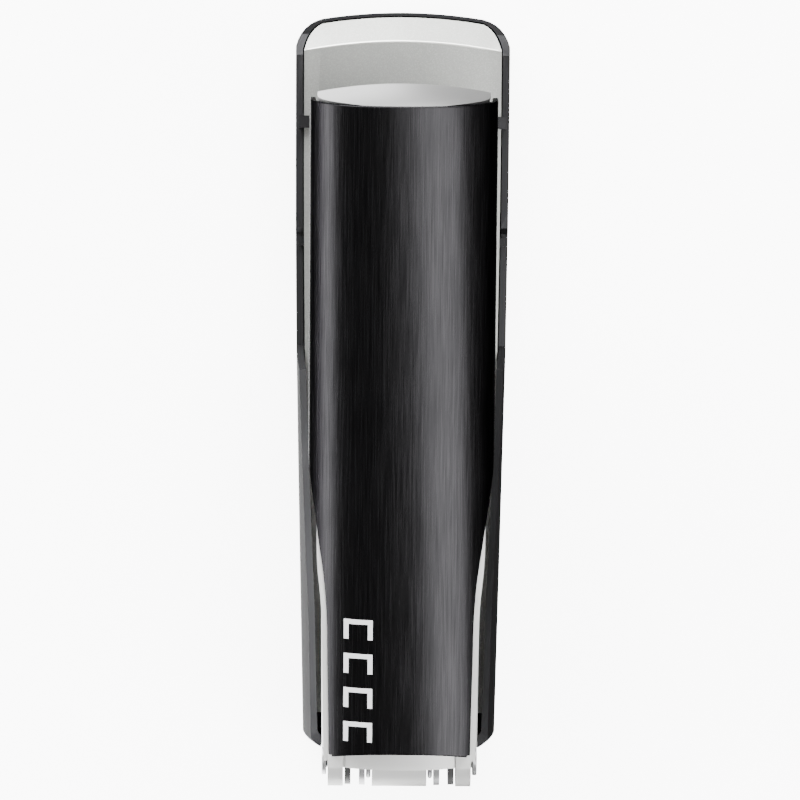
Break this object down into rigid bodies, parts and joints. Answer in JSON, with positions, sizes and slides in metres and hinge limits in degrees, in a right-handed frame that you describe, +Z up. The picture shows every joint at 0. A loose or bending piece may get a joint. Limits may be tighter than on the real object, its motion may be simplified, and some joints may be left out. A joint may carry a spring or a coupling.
{
  "type": "desk stapler",
  "caption": "Desk stapler with a black brushed arched handle, silver nose and base plate, black base with raised flanks, spring-fed magazine and a turning anvil.",
  "frame": {"origin": "centre of the footprint, on the surface the feet stand on", "axes": "+Z up, the stapling end towards -Y, the hinge towards +Y, +X to the left as seen from above with the front up"},
  "size_m": [0.0392, 0.14, 0.057],
  "materials": {
    "black_shell": "satin black moulded plastic with a fine grain",
    "black_brushed": "black satin lacquer over lengthwise brushed metal",
    "silver_paint": "silver metallic paint with a fine sparkle",
    "satin_silver": "smooth satin silver",
    "sheet_steel": "plain zinc-plated sheet and wire",
    "staple_wire": "galvanised staple wire",
    "dark_steel": "dark phosphated steel",
    "rubber": "matt black rubber",
    "black_pom": "plain black moulded plastic",
    "white_pom": "natural acetal plastic"
  },
  "bodies": {
    "base": {"base_shell": "black_shell", "base_plate": "silver_paint", "front_foot": "rubber", "rear_foot": "rubber", "base_bracket": "dark_steel", "base_screw_1": "sheet_steel", "base_screw_2": "sheet_steel", "hinge_pin": "sheet_steel", "hinge_pin_washer": "sheet_steel", "anvil_spring": "sheet_steel"},
    "anvil_lifter": {"anvil_button": "black_pom"},
    "anvil": {"anvil_plate": "sheet_steel"},
    "magazine": {"magazine_channel": "sheet_steel", "magazine_front_plate": "sheet_steel", "staple_rail": "sheet_steel", "front_rod_block": "white_pom", "rear_rod_block": "white_pom", "follower_rod": "sheet_steel", "follower_spring": "sheet_steel", "staple_strip": "staple_wire", "magazine_yoke": "sheet_steel", "handle_leaf_spring": "sheet_steel", "hairpin_spring_left": "sheet_steel", "hairpin_spring_right": "sheet_steel"},
    "follower": {"follower": "black_pom"},
    "handle": {"top_cover": "black_brushed", "handle_frame": "satin_silver", "nose_cap": "satin_silver", "driver_blade": "sheet_steel", "driver_holder": "white_pom", "driver_rivet_left": "sheet_steel", "driver_rivet_right": "sheet_steel"}
  },
  "joints": [
    {"name": "magazine_pivot", "type": "hinge", "parent": "base", "child": "magazine", "pos_m": [0, 0.0654, 0.027], "axis": [-1, 0, 0], "range_deg": [-6.5, 70], "stiffness_Nm_per_rad": 2, "springref_deg": 1.72},
    {"name": "handle_pivot", "type": "hinge", "parent": "magazine", "child": "handle", "pos_m": [0, 0.0654, 0.027], "axis": [-1, 0, 0], "range_deg": [-4, 95], "stiffness_Nm_per_rad": 2, "springref_deg": 1.15, "deforming": ["handle_leaf_spring", "hairpin_spring_left", "hairpin_spring_right"]},
    {"name": "follower_slide", "type": "slide", "parent": "magazine", "child": "follower", "axis": [0, 0.9936, -0.1132], "range_m": [0, 0.032], "stiffness_N_per_m": 25, "springref_m": -0.02, "deforming": ["follower_spring"]},
    {"name": "anvil_lift", "type": "slide", "parent": "base", "child": "anvil_lifter", "axis": [0, 0, 1], "range_m": [0, 0.001], "stiffness_N_per_m": 200, "springref_m": -0.002, "deforming": ["anvil_spring"]},
    {"name": "anvil_turn", "type": "hinge", "parent": "anvil_lifter", "child": "anvil", "pos_m": [0, -0.04847, 0.0108], "axis": [0, 0, 1], "range_deg": [0, 180]}
  ]
}
